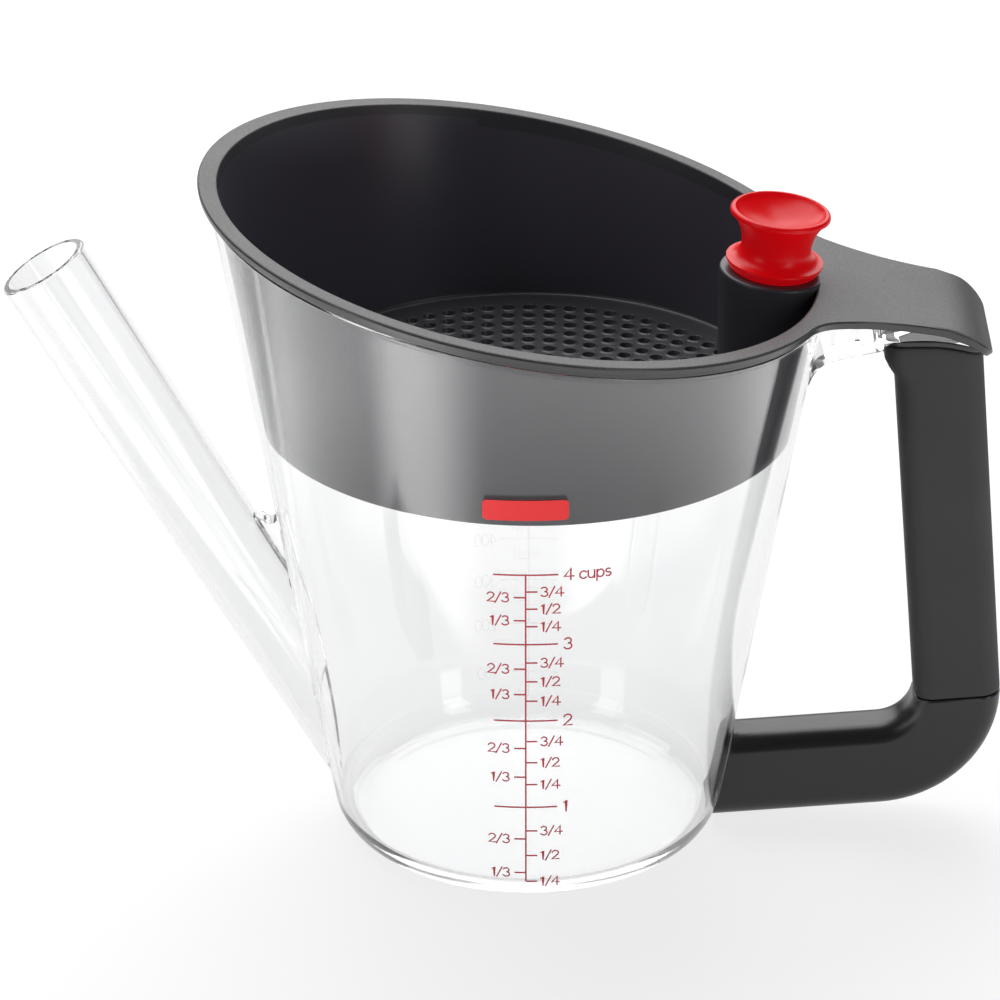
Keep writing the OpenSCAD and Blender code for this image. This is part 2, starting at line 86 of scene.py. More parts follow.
# %% Rounded outlines
def arc(centre, r, a0, a1, steps):
    """Points on an arc, with angles in radians."""
    turns = [a0 + (a1 - a0) * i / steps for i in range(steps + 1)]
    return [(centre[0] + r * cos(a), centre[1] + r * sin(a)) for a in turns]


def rounded(corners, closed=False):
    """Outline through corners (x, y, radius, arc steps, cuts on the run after it)."""
    points, count = [], len(corners)
    ends = []
    for i, (x, y, r, steps, cuts) in enumerate(corners):
        if not closed and i in (0, count - 1) or r == 0:
            ends.append([Vector((x, y))])
            continue
        here = Vector((x, y))
        back = (Vector(corners[i - 1][:2]) - here).normalized()
        on = (Vector(corners[(i + 1) % count][:2]) - here).normalized()
        half = acos(max(-1.0, min(1.0, back.dot(on)))) / 2
        middle = here + (back + on).normalized() * (r / sin(half))
        start, end = here + back * (r / tan(half)), here + on * (r / tan(half))
        a0, a1 = atan2(*(start - middle).yx), atan2(*(end - middle).yx)
        a1 += 2 * pi * round((a0 - a1) / (2 * pi))
        ends.append([Vector(p) for p in arc(middle, r, a0, a1, steps)])
    for i in range(count):
        points += ends[i]
        if closed or i < count - 1:
            a, b, cuts = ends[i][-1], ends[(i + 1) % count][0], corners[i][4]
            points += [a.lerp(b, (k + 1) / (cuts + 1)) for k in range(cuts)]
    return [(p.x, p.y) for p in points]


print("a rounded corner has", len(rounded([(0, 0, 0, 0, 0), (9, 0, 2, 6, 0), (9, 9, 0, 0, 0)])), "points")

# %% [markdown]
# A skin joins rows of points into quads. Turned pieces, swept pieces and sheets are all skins, so one
# function makes them, welds points that fall together, turns the faces outward and marks the sharp edges.

# %% From rows of points to a piece
def skin(name, rows, wrap_rows=False, wrap_points=False, caps=False, sharp=40, weld=1e-5):
    """A smooth-shaded mesh object through rows of (x, y, z) points in millimetres."""
    bm = bmesh.new()
    grid = [[bm.verts.new(Vector(p) * MM) for p in row] for row in rows]
    height, width = len(grid), len(grid[0])
    for i in range(height if wrap_rows else height - 1):
        for j in range(width if wrap_points else width - 1):
            a, b = grid[i], grid[(i + 1) % height]
            k = (j + 1) % width
            bm.faces.new((a[j], a[k], b[k], b[j]))
    if caps:
        bm.faces.new(grid[0][::-1])
        bm.faces.new(grid[-1])
    return finish_mesh(name, bm, sharp, weld)


def finish_mesh(name, bm, sharp=40, weld=1e-5):
    bmesh.ops.remove_doubles(bm, verts=bm.verts, dist=weld * MM)
    bmesh.ops.dissolve_degenerate(bm, edges=bm.edges, dist=weld * MM)
    bmesh.ops.recalc_face_normals(bm, faces=bm.faces)
    for face in bm.faces:
        face.smooth = True
    for edge in bm.edges:
        edge.smooth = len(edge.link_faces) != 2 or edge.calc_face_angle(0) < radians(sharp)
    mesh = bpy.data.meshes.new(name)
    bm.to_mesh(mesh)
    bm.free()
    piece = bpy.data.objects.new(name, mesh)
    scene.collection.objects.link(piece)
    return piece


def turned(name, profile_at, steps=240, ring=False, sharp=40):
    """A piece turned about Z. profile_at(angle) gives (radius, height) points; ring closes the section."""
    rows = []
    for i in range(steps):
        a = 2 * pi * i / steps
        rows.append([(r * cos(a), r * sin(a), z) for r, z in profile_at(a)])
    return skin(name, rows, wrap_rows=True, wrap_points=ring, sharp=sharp)


def dress(piece, body, slot, material, *nodes):
    """Gives a piece its body and material, and the CAD nodes that it stands for. The record slot is not
    used.
    """
    piece.data.materials.clear()
    piece.data.materials.append(material)
    even = piece.modifiers.new("large faces stay flat", "WEIGHTED_NORMAL")
    even.keep_sharp = True
    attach(piece, body)
    if nodes:
        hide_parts(*nodes)
    print(piece.name, len(piece.data.vertices), "points")
    return piece

# %% [markdown]
# Clear plastic bends light, so the jug must be one closed skin: two clear solids that only touch would
# show a dark seam. The cup, the spout, the web and the handle's arm are therefore made as solids, united,
# and only then is the inside taken away. This keeps the wall of even thickness, as it is on the moulding.

# %% Solid cup and its inside
def cup_profile(angle):
    r, z = cone_meets_rim(angle, bead)
    under, foot = cone_meets_rim(angle, bead, -1.1), cone_meets_rim(angle, 0, -1.5)
    inner_r, inner_z = cone_meets_rim(angle, -cup_wall)
    middle = (r + inner_r) / 2, (z + inner_z) / 2
    return rounded([(0, 0, 0, 0, 3), (base_r, 0, cup_corner, 8, 30), (*foot, 0.2, 2, 0), (*under, 0.3, 3, 0),
                    (r, z, 0.5, 4, 0), (*middle, 0, 0, 6), (0, rim_h, 0, 0, 0)])


def inside_profile(angle):
    """The cup's inside. Near the rim it flares out by the radius of the rim's inner edge."""
    r, z = cone_meets_rim(angle, -cup_wall)
    floor_r = cone_r(cup_floor, -cup_wall)
    edge = arc((r + 0.45, z - 0.45 - 0.08), 0.45, pi, pi / 2, 4)
    wall = rounded([(0, cup_floor, 0, 0, 3), (floor_r, cup_floor, cup_corner - cup_wall, 8, 30),
                    (*edge[0], 0, 0, 0)])
    return wall + edge[1:] + [(r + 0.9, z + 6), (0, rim_h + 30)]


solid_cup = turned("solid_cup", cup_profile, 288)
cup_inside = turned("cup_inside", inside_profile, 288)

# %% [markdown]
# The spout is a long straight tube that grows a little towards its mouth. Its bore goes through the cup's
# wall only near the floor, so that just the lowest gravy can leave.

# %% Solid spout and its bore
spout_foot = Vector((-54.8, 0, 40))
spout_slope = radians(60.5)
spout_along = Vector((-cos(spout_slope), 0, sin(spout_slope)))
spout_back, spout_l, spout_wall = 50.0, 125.4, 1.6
spout_low_r, spout_mouth_r = 9.7, 11.2
inlet_low, inlet_high = 7.0, 36.0


def on_axis(foot, along, side, steps, profile):
    """Rows of a piece turned about any axis, from (radius, distance along the axis) points."""
    other = along.cross(side)
    rows = []
    for i in range(steps):
        a = 2 * pi * i / steps
        out = side * cos(a) + other * sin(a)
        rows.append([foot + along * h + out * r for r, h in profile])
    return rows


def spout_profile(wall, start, end, edge):
    grow = (spout_mouth_r - spout_low_r) / (spout_back + spout_l)
    r0, r1 = (spout_low_r - wall + grow * (h + spout_back) for h in (start, end))
    return rounded([(0, start, 0, 0, 0), (r0, start, 0, 0, 30), (r1, end, edge, 4, 0), (0, end, 0, 0, 0)])


across = Vector((sin(spout_slope), 0, cos(spout_slope)))
tube = on_axis(spout_foot, spout_along, across, 96, spout_profile(0, -38, spout_l, 0.6))
bore_end = spout_profile(spout_wall, -60, spout_l + 3, 0)
spout_solid = skin("spout_solid", tube, wrap_rows=True)
spout_bore = skin("spout_bore", on_axis(spout_foot, spout_along, across, 96, bore_end), wrap_rows=True)
inlet_bore = skin("inlet_bore", on_axis(spout_foot, spout_along, across, 96, bore_end), wrap_rows=True)

# %% [markdown]
# Flat pieces such as the web and the clear arm are drawn in side view and given a width. The arm also
# gets a narrow bevel along its edges, which catches the light.

# %% Pieces drawn in side view
def plate(name, outline, half_width, bevel=0.0):
    """A plate through (x, z) points, lying on both sides of the plane of symmetry."""
    bm = bmesh.new()
    sides = [[bm.verts.new(Vector((x, y, z)) * MM) for x, z in outline] for y in (-half_width, half_width)]
    faces = [bm.faces.new(sides[0]), bm.faces.new(sides[1][::-1])]
    for i in range(len(outline)):
        k = (i + 1) % len(outline)
        bm.faces.new((sides[0][i], sides[1][i], sides[1][k], sides[0][k]))
    if bevel:
        edges = list({e for face in faces for e in face.edges})
        bmesh.ops.bevel(bm, geom=edges, offset=bevel * MM, segments=3, profile=0.5, affect="EDGES")
    return finish_mesh(name, bm)


web_low, web_top, web_half_w = 62.0, 81.5, 2.5


def spout_x(z):
    return spout_foot.x - (z - spout_foot.z) / tan(spout_slope)


web_notch = arc((-cone_r(web_top) - 2.2, web_top + 1.6), 1.9, radians(-150), radians(-20), 8)
web_outline = [(-cone_r(web_low) + 1, web_low), (spout_x(web_low), web_low),
               (spout_x(web_top + 4), web_top + 4), *web_notch, (-cone_r(web_top) + 1, web_top + 2)]
web = plate("web", web_outline, web_half_w)
print("the web is", round(-spout_x(web_low) - cone_r(web_low), 1), "mm wide at its foot")

# %% [markdown]
# The clear arm reaches from the rim to the handle, under the strainer's thumb tab. Its underside meets
# the wall in a fillet, and its top follows the tab: first the rim's slant, then the tab's bend.

# %% Clear arm
flange_h, flange_out, lip_t, seat_gap = 3.5, 1.9, 2.0, 0.3
lip_over = flange_h - lip_t / cos(tilt)
bend_x, bend_r, bend_end = 99.3, 18.5, radians(34)
bend_c = (bend_x - bend_r * sin(tilt), rim_z(bend_x, flange_h) - bend_r * cos(tilt))
head_c, head_r = (95.0, 91.6), 42.0
under_x, under_z, under_slope, under_fillet = 75.8, 128.5, 0.21, 7.5
arm_half_w, arm_end = 7.6, 109.5


def on_circle(centre, r, x):
    """Point over x on the upper half of a circle in side view."""
    return x, centre[1] + sqrt(r * r - (x - centre[0]) ** 2)


under_angle = atan(under_slope)
fillet_z = (under_z + under_slope * (base_r + under_fillet / cos(cone_angle) - under_x)
            - under_fillet / cos(under_angle)) / (1 - under_slope * slope)
fillet_c = (cone_r(fillet_z) + under_fillet / cos(cone_angle), fillet_z)
notch_x = 85.4
head_arch = [on_circle(head_c, head_r, notch_x + (arm_end - notch_x) * i / 12) for i in range(13)]
tab_under = arc(bend_c, bend_r - lip_t - seat_gap, acos((arm_end - bend_c[0]) / (bend_r - lip_t - seat_gap)),
                pi / 2 - tilt, 10)
step_x = cone_meets_rim(0, flange_out)[0] + 0.6
arm_outline = [(fillet_c[0] - under_fillet - 5.5, fillet_c[1] - 8),
               *arc(fillet_c, under_fillet, pi - cone_angle, pi / 2 + under_angle, 10),
               (notch_x, under_z + under_slope * (notch_x - under_x)), *head_arch, *tab_under,
               (step_x, rim_z(step_x, lip_over - seat_gap)), (step_x, rim_z(step_x, -0.6)),
               (66, rim_z(66, -0.6)), (60, fillet_c[1] - 8)]
clear_arm = plate("clear_arm", arm_outline, arm_half_w, 0.5)

# %% [markdown]
# The arm is hollow, so that its walls are as even as the rest: three pockets are open to the top, under
# the tab, and two ribs part them. They follow the underside, and stay clear of the cup's wall.

# %% Pockets of the arm
pocket_wall, pocket_floor, pocket_end, pocket_clear = 1.6, 2.2, 89.0, 1.004
rib_t, rib_pitch = 1.3, 5.8
ribs = [step_x - rib_t, step_x - rib_t + rib_pitch]


def floor_under(x):
    """Point of the pockets' floor at x: over the fillet, over the underside or over the handle's arch."""
    if x < fillet_c[0] - (under_fillet + pocket_floor) * sin(under_angle):
        return on_circle(fillet_c, under_fillet + pocket_floor, x)
    if x > notch_x - pocket_floor / 2:
        return on_circle(head_c, head_r + pocket_floor, x)
    return x, under_z + under_slope * (x - under_x) + pocket_floor / cos(under_angle)


pockets = []
for start, end in ((fillet_c[0] - under_fillet - pocket_floor + 0.01, ribs[0]), (ribs[0] + rib_t, ribs[1]),
                   (ribs[1] + rib_t, pocket_end)):
    low_side = [floor_under(start + (end - start) * i / 8) for i in range(9)]
    pockets.append(plate("pocket", low_side + [(end, rim_h), (start, rim_h)], arm_half_w - pocket_wall))
print("the arm ends", round(tab_under[0][1] - head_arch[-1][1], 2), "mm thick")

# %% [markdown]
# Now the solids are united and the hollows taken away. The bore is cut in two steps: outside the cup it
# is cut in full, and in the cup's own wall only between the lowest and the highest level of the opening.

# %% One clear moulding
def combine(target, tool, how):
    """Boolean of two closed meshes, kept as plain geometry. The tool is used up."""
    step = target.modifiers.new(how, "BOOLEAN")
    step.operation, step.solver, step.object = how, "MANIFOLD", tool
    done = bpy.data.meshes.new_from_object(target.evaluated_get(bpy.context.evaluated_depsgraph_get()))
    target.modifiers.clear()
    target.data = done
    bpy.data.objects.remove(tool)
    return target


def copy_of(piece):
    other = piece.copy()
    other.data = piece.data.copy()
    scene.collection.objects.link(other)
    return other


slab = plate("slab", [(-90, inlet_low), (0, inlet_low), (0, inlet_high), (-90, inlet_high)], 30)
inlet_bore = combine(inlet_bore, slab, "INTERSECT")
spout_bore = combine(spout_bore, copy_of(solid_cup), "DIFFERENCE")
for tool, level in ((spout_solid, 2.5), (spout_bore, inlet_low)):
    under = plate("under", [(-90, -60), (60, -60), (60, level), (-90, level)], 30)
    combine(tool, under, "DIFFERENCE")
for pocket in pockets:
    around_cup = copy_of(solid_cup)
    around_cup.data.transform(Matrix.Diagonal((pocket_clear, pocket_clear, 1.0, 1.0)))
    combine(pocket, around_cup, "DIFFERENCE")
    combine(clear_arm, pocket, "DIFFERENCE")
jug = solid_cup
for tool in (spout_solid, web, clear_arm):
    jug = combine(jug, tool, "UNION")
for tool in (cup_inside, spout_bore, inlet_bore):
    jug = combine(jug, tool, "DIFFERENCE")

moulding = bmesh.new()
moulding.from_mesh(jug.data)
bpy.data.objects.remove(jug)
jug = finish_mesh("clear_jug", moulding, sharp=32, weld=0.002)
print("clear jug:", len(jug.data.vertices), "points")

# %% [markdown]
# The strainer is one dark moulding: a skirt that hangs inside the wall, a stepped flange on the rim, and
# a thumb tab over the handle. Flange and tab are one sheet, so they are made in one sweep round the axis.
# At each angle the section is the same, and where the tab is, its outer part moves out as far as the
# tab's outline.

# %% Outline of the tab, seen from above
skirt_out, skirt_in = -1.7, -2.7
skirt_z, skirt_tilt = 112.4, radians(0.6)
tab_w, tab_flare, tab_flare_x, tab_fillet, tab_corner = 18.3, 57.0, 100.0, 16.0, 5.5
tab_end_x = bend_c[0] + bend_r * cos(bend_end)


def heading(v):
    return atan2(v.y, v.x)


def tab_edge():
    """Half of the outline: a fillet from the rim, a long curve, the side and the end corner."""
    flare_c = Vector((tab_flare_x, tab_w + tab_flare))
    rim = cone_r(rim_z(68, flange_h), flange_out)
    d, from_axis, from_flare = flare_c.length, rim + tab_fillet, tab_flare - tab_fillet
    along = (from_axis ** 2 - from_flare ** 2 + d * d) / (2 * d)
    aside = sqrt(from_axis ** 2 - along ** 2)
    u = flare_c / d
    fillet_mid = along * u + aside * Vector((u.y, -u.x))
    turn = heading(fillet_mid - flare_c)
    corner = (tab_end_x - tab_corner, tab_w - tab_corner)
    return (arc(fillet_mid, tab_fillet, heading(fillet_mid) - pi, turn, 12)
            + arc(flare_c, tab_flare, turn, -pi / 2, 14)
            + arc(corner, tab_corner, pi / 2, 0, 12) + [(tab_end_x, 7.5), (tab_end_x, 3.75)])


half = [(atan2(y, x), hypot(x, y)) for x, y in tab_edge()]
tab_reach = [(a, r) for a, r in half] + [(0.0, tab_end_x)] + [(-a, r) for a, r in half[::-1]]
tab_start = half[0][0]
others = [tab_start + (2 * pi - 2 * tab_start) * i / 230 for i in range(1, 230)]
rim_angles = [(a, None) for a in others] + [(a, r) for a, r in tab_reach[::-1]]
print("the tab starts", round(degrees(tab_start), 1), "degrees from its middle")

# %% [markdown]
# The sheet's upper side is a slanted plane that bends down near the tab's end. Each point of the section
# is moved out along the sheet, and then set under the upper side by its own depth, so the thickness stays
# the same.

# %% Strainer shell
def on_sheet(x, y, depth):
    """A point at a depth under the sheet's upper side."""
    if x < bend_x:
        up = Vector((sin(tilt), 0, cos(tilt)))
        return Vector((x, y, rim_z(x, flange_h))) - up * depth
    turn = acos(min(1.0, (x - bend_c[0]) / bend_r))
    r = bend_r - depth
    return Vector((bend_c[0] + r * cos(turn), y, bend_c[1] + r * sin(turn)))


def shell_row(angle, reach):
    """Section of the strainer at one angle, round from its inner edge over the flange to the skirt."""
    upper_in = cone_meets_rim(angle, skirt_in, flange_h)
    upper_out = cone_meets_rim(angle, flange_out, flange_h)
    lip = cone_meets_rim(angle, flange_out, lip_over)
    step = [cone_meets_rim(angle, flange_out / 2, over) for over in (lip_over, seat_gap)]
    seat = cone_meets_rim(angle, skirt_out, seat_gap)
    t = cos(angle) * tan(skirt_tilt)
    lower = [(cone_r((skirt_z - (base_r + off) * t) / (1 + slope * t), off),
              (skirt_z - (base_r + off) * t) / (1 + slope * t)) for off in (skirt_out, skirt_in)]
    cuts = 22
    section = rounded([(*upper_in, 0.5, 5, cuts), (*upper_out, 0.6, 5, 0), (*lip, 0.35, 3, cuts),
                       (*step[0], 0.2, 2, 0), (*step[1], 0.3, 3, 3), (*seat, 0.3, 2, 16),
                       (*lower[0], 0.3, 3, 0), (*lower[1], 0.3, 3, 24)], closed=True)
    if reach is None or reach < upper_out[0] + 0.01:
        return [(r * cos(angle), r * sin(angle), z) for r, z in section]
    move = reach - upper_out[0]
    weights = ([0.0] * 6 + [(i + 1) / (cuts + 1) for i in range(cuts)] + [1.0] * 10
               + [1 - (i + 1) / (cuts + 1) for i in range(cuts)])
    weights += [0.0] * (len(section) - len(weights))
    row = []
    for (r, z), weight in zip(section, weights):
        x, y = r * cos(angle), r * sin(angle)
        if weight:
            depth = (rim_z(x, flange_h) - z) * cos(tilt)
            x, y = x + depth * sin(tilt) + weight * move * cos(angle), y + weight * move * sin(angle)
            row.append(on_sheet(x, y, depth))
        else:
            row.append((x, y, z))
    return row


strainer_shell = skin("strainer_shell", [shell_row(a, reach) for a, reach in rim_angles], wrap_rows=True,
                      wrap_points=True, sharp=50)

# %% [markdown]
# The strainer's floor has rings of holes, each ring with six holes more than the one inside it. Each hole
# has a raised rim like a small crater. The flat areas between the holes are filled in one go, from the
# outlines alone.

# %% Strainer floor
sieve_low, sieve_top, hole_r, hole_foot_r = 113.09, 114.29, 1.6, 1.1
ring_count, ring_pitch = 11, 5
well_x, well_r, well_top = 58.85, 13.0, 149.0
centres = []
for ring in range(1, ring_count + 1):
    for i in range(6 * ring):
        a = radians((i + (ring % 2) / 2) * 60 / ring)
        x, y = ring_pitch * ring * cos(a), ring_pitch * ring * sin(a)
        if hypot(x - well_x, y) > well_r + hole_r + 0.6:
            centres.append((x, y))
print(len(centres), "holes")


def ring_of(bm, x, y, r, z, steps):
    turns = [2 * pi * i / steps for i in range(steps)]
    return [bm.verts.new(Vector((x + r * cos(a), y + r * sin(a), z)) * MM) for a in turns]


def band(bm, lower, upper):
    for i in range(len(lower)):
        k = (i + 1) % len(lower)
        bm.faces.new((lower[i], lower[k], upper[k], upper[i]))


def sieve_mesh():
    bm = bmesh.new()
    outer_r = cone_r(sieve_top, skirt_in)
    edge = [(outer_r - 1.2, sieve_top)] + arc((outer_r - 1.2, sieve_top + 1.2), 1.2, -pi / 2, 0.0, 6)[1:]
    edge += [(outer_r + 0.4, sieve_top + 1.2), (cone_r(sieve_low, skirt_in) + 0.4, sieve_low)]
    rings = [ring_of(bm, 0, 0, r, z, 160) for r, z in edge]
    for a, b in zip(rings, rings[1:]):
        band(bm, a, b)
    crater = [(2.35, 0), (2.2, 0.03), (2.02, 0.18), (1.9, 0.24), (1.76, 0.24), (1.64, 0.14), (1.6, 0.0)]
    tops, lows = [rings[0]], [rings[-1]]
    for x, y in centres:
        loops = [ring_of(bm, x, y, r, sieve_top + h, 20) for r, h in crater]
        loops.append(ring_of(bm, x, y, hole_foot_r, sieve_low, 20))
        for a, b in zip(loops, loops[1:]):
            band(bm, a, b)
        tops.append(loops[0])
        lows.append(loops[-1])
    for group in (tops, lows):
        edges = [bm.edges.get((a, b)) for loop in group for a, b in zip(loop, loop[1:] + loop[:1])]
        bmesh.ops.triangle_fill(bm, use_beauty=True, edges=edges)
    return bm


sieve_plate = finish_mesh("sieve_plate", sieve_mesh(), sharp=50)

# %% [markdown]
# The stopper has its place in a round well that stands in the strainer and leans a little towards the
# handle. Where the well would pass through the skirt, its points are held back inside the skirt's wall.

# %% Stopper well
lean = radians(5.5)
well_foot = Vector((well_x, 0, well_top))
well_along, well_side = Vector((sin(lean), 0, cos(lean))), Vector((cos(lean), 0, -sin(lean)))
bore_r, bore_depth = 9.6, 20.0


def well_rows(steps=96):
    top_edge = rounded([(well_r, -4, 0, 0, 0), (well_r, 0, 0.8, 5, 2), (bore_r, 0, 0.7, 5, 10),
                        (bore_r, -bore_depth, 0.6, 3, 0), (0, -bore_depth, 0, 0, 0)])
    rows = []
    for i, row in enumerate(on_axis(well_foot, well_along, well_side, steps, top_edge)):
        a = 2 * pi * i / steps
        outer = [Vector((well_x, 0, sieve_low + 0.3))]
        for k in range(12):
            z = sieve_low + 0.3 + (well_top - 6 - sieve_low) * k / 11
            outer.append(Vector((well_x + well_r * cos(a), well_r * sin(a), z)))
        held = []
        for p in outer + row:
            limit = cone_r(p.z, (skirt_in + skirt_out) / 2)
            far = hypot(p.x, p.y)
            held.append(Vector((p.x * limit / far, p.y * limit / far, p.z)) if far > limit else p)
        rows.append(held)
    return rows


stopper_well = skin("stopper_seat", well_rows(), wrap_rows=True, sharp=45)

# %% [markdown]
# The stopper is soft silicone: a plug, a flange that seals, a waist for two fingers and a hollow dish on
# top. Its plug fits the mouth of the spout, to close it while the gravy settles, and it rests in its well
# when not in use.

# %% Stopper
plug_l, collar_r, collar_t, waist_r, waist_z = 13.0, 11.9, 2.4, 8.4, 6.0
dish_r, dish_z, dish_depth, dish_lip = 12.1, 15.4, 4.6, 0.9


def stopper_profile():
    fillet = waist_z - seat_gap - collar_t
    rise, grow = dish_z - dish_lip - waist_z, dish_r - waist_r
    flare = (rise ** 2 + grow ** 2) / (2 * grow)
    bowl = ((dish_r - dish_lip) ** 2 + dish_depth ** 2) / (2 * dish_depth)
    reach = atan2(dish_r - dish_lip, bowl - dish_depth)
    plug = rounded([(0, -plug_l, 0, 0, 2), (8.6, -plug_l, 1.2, 5, 8), (9.3, 0.0, 0, 0, 0)])
    collar_top = seat_gap + collar_t
    collar = rounded([(9.3, seat_gap, 0, 0, 1), (collar_r - 1.2, seat_gap, 0.5, 4, 1),
                      (collar_r + 0.1, collar_top, 0.5, 6, 0), (waist_r + fillet, collar_top, 0, 0, 0)])
    neck = arc((waist_r + fillet, waist_z), fillet, -pi / 2, -pi, 8)
    cup = arc((waist_r + flare, waist_z), flare, pi, pi - atan2(rise, flare - grow), 14)
    lip = arc((dish_r - dish_lip, dish_z - dish_lip), dish_lip, radians(-15), pi / 2 + 0.45, 10)
    dish = arc((0, dish_z + bowl - dish_depth), bowl, reach - pi / 2, -pi / 2, 12)
    return plug + collar + neck + cup[1:-1] + lip + dish[1:]


stopper = skin("silicone_stopper", on_axis(well_foot, well_along, well_side, 96, stopper_profile()),
               wrap_rows=True, sharp=50)

# %% [markdown]
# The handle is a hard core with a soft sleeve over its grip. Both have the same section, a rectangle with
# round corners, so one function draws the loop and the rest is a question of where each loop goes.

# %% Sections of the handle
grip_foot, grip_lean, arm_rise = Vector((107.4, 0, 35.7)), radians(5.15), radians(4.9)
grip_a, arm_a, grip_b, grip_edge, elbow_r = 10.75, 11.2, 7.6, 5.0, 20.6
grip_up = Vector((-sin(grip_lean), 0, cos(grip_lean)))
grip_away = Vector((cos(grip_lean), 0, sin(grip_lean)))
elbow_c = grip_foot + grip_up * 2 - grip_away * elbow_r


def loop(a, b, r, inset=0.0):
    """Rounded rectangle, given as (away from the cup, across) points."""
    a, b, r = a - inset, b - inset, max(r - inset, 0.2)
    corners = [(a, b, r, 8, 3), (-a, b, r, 8, 3), (-a, -b, r, 8, 3), (a, -b, r, 8, 3)]
    return rounded(corners, closed=True)


def placed(points, centre, away):
    return [centre + away * u + Vector((0, v, 0)) for u, v in points]


def to_arch(p, r):
    """Moves a point along the grip onto the arched top of radius r."""
    q = Vector((p.x - head_c[0], 0, p.z - head_c[1]))
    b = q.dot(grip_up)
    return p + grip_up * (sqrt(b * b - q.length_squared + r * r) - b)


def finger_lip(z):
    """How far the sleeve reaches towards the cup, just under its top."""
    low, high = min(1.0, max(0.0, (z - 121.5) / 6)), min(1.0, max(0.0, (z - 128) / 6))
    return 2.3 * low * low * (3 - 2 * low) - 0.6 * high


def cup_side(p, u):
    return p - grip_away * (finger_lip(p.z) * min(1.0, max(0.0, -u / 3)))


print("elbow centre", [round(v, 2) for v in elbow_c])

# %% [markdown]
# The core starts at the cup as a face that follows the cup's cone, runs out along the lower arm, bends up
# through the elbow and ends in a thin neck inside the sleeve. A small step between elbow and sleeve makes
# the parting line.

# %% Handle core: lower arm and elbow
def cup_outer_r(z):
    """Radius of the cup's outside, its rounded lower edge included."""
    mid_r = cone_r(cup_corner) - cup_corner / cos(cone_angle)
    if z > cup_corner * (1 - sin(cone_angle)):
        return cone_r(z)
    return max(base_r - 1, mid_r + sqrt(max(0.0, cup_corner ** 2 - (z - cup_corner) ** 2)))


def to_cup(p, gap):
    """Moves a point along the lower arm until it is just outside the cup."""
    in_arm = Vector((-cos(arm_rise), 0, -sin(arm_rise)))
    for i in range(30):
        p = p + in_arm * (hypot(p.x, p.y) - cup_outer_r(p.z) - gap)
    return p


def core_rows():
    arm_away = Vector((sin(arm_rise), 0, -cos(arm_rise)))
    arm_foot = elbow_c + arm_away * elbow_r
    outline = loop(arm_a, grip_b, grip_edge)
    rows = []
    end_face = [(scale, 0.15) for scale in (0.12, 0.4, 0.7, 0.9, 0.95)] + [(0.985, 0.3), (1, 0.7)]
    for scale, gap in end_face:
        ring = [(u * scale, v * scale) for u, v in outline]
        rows.append([to_cup(p, gap) for p in placed(ring, arm_foot, arm_away)])
    for i in range(1, 7):
        rows.append([p.lerp(q, i / 7) for p, q in zip(rows[6], placed(outline, arm_foot, arm_away))])
    for i in range(25):
        turn = -pi / 2 + arm_rise + (pi / 2 + grip_lean - arm_rise) * i / 24
        away = Vector((cos(turn), 0, sin(turn)))
        part = i / 24
        section = loop(arm_a + (grip_a - arm_a) * part, grip_b, grip_edge)
        ring = placed(section, elbow_c + away * elbow_r, away)
        heights = [(p - grip_foot).dot(grip_up) for p in ring]
        rows.append([p - grip_up * max(0.0, h + 0.6) for p, h in zip(ring, heights)])
    for inset, h in ((0.15, -0.18), (0.6, -0.02), (1.2, -0.02), (1.5, 0.5), (1.5, 4)):
        rows.append(placed(loop(grip_a, grip_b, grip_edge, inset), grip_foot + grip_up * h, grip_away))
    return rows


handle_core = skin("handle_hard", core_rows(), wrap_points=True, caps=True, sharp=45)

# %% [markdown]
# The sleeve's bottom is flat and its top is arched. Each line along the grip is therefore cut into equal
# parts between its own two ends. Near the top it swells towards the cup into a lip that keeps the fingers
# in place.

# %% Soft sleeve and hard collar
def sleeve_rows(low, r_low, r_high, edge, count):
    """Rows from the foot of the grip, or from the arch of radius r_low, up to the arch of radius r_high."""
    rows = []
    steps = [(1.5, 0.0, 0.0), (edge, 0.0, 0.0), (edge * 0.3, 0.0, edge * 0.3), (0.0, 0.0, edge)]
    steps += [(0.0, i / count, 0.0) for i in range(1, count)]
    steps += [(0.0, 1.0, -edge), (edge * 0.3, 1.0, -edge * 0.3), (edge, 1.0, 0.0), (edge + 1.2, 1.0, 0.0),
              (grip_b - 0.4, 1.0, 0.0)]
    for inset, part, shift in steps:
        row = []
        ring = loop(grip_a, grip_b, grip_edge, inset)
        for (u, _), p in zip(ring, placed(ring, grip_foot + grip_up * low, grip_away)):
            start = p if r_low is None else to_arch(p, r_low)
            p = start.lerp(to_arch(p, r_high), part) + grip_up * shift
            row.append(cup_side(p, u + inset))
        rows.append(row)
    return rows


cap_t = 1.6
grip_sleeve = skin("grip_sleeve", sleeve_rows(0.12, None, head_r - cap_t, 0.7, 46), wrap_points=True,
                   caps=True, sharp=45)
collar = skin("handle_collar", sleeve_rows(0, head_r - cap_t + 0.05, head_r - 0.06, 0.25, 3),
              wrap_points=True, caps=True, sharp=45)
print("the sleeve ends", cap_t, "mm under the handle's top")

# %% [markdown]
# The scale is printed on the wall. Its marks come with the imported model. The figures are added here: each
# glyph is a few pen strokes in a box one unit high, and each stroke becomes a thin ribbon wrapped round
# the cone.

# %% Strokes of the glyphs
def bow(x, y, rx, ry, a0, a1, steps=14):
    """Part of an ellipse, with angles in degrees."""
    turns = [radians(a0 + (a1 - a0) * i / steps) for i in range(steps + 1)]
    return [(x + rx * cos(a), y + ry * sin(a)) for a in turns]


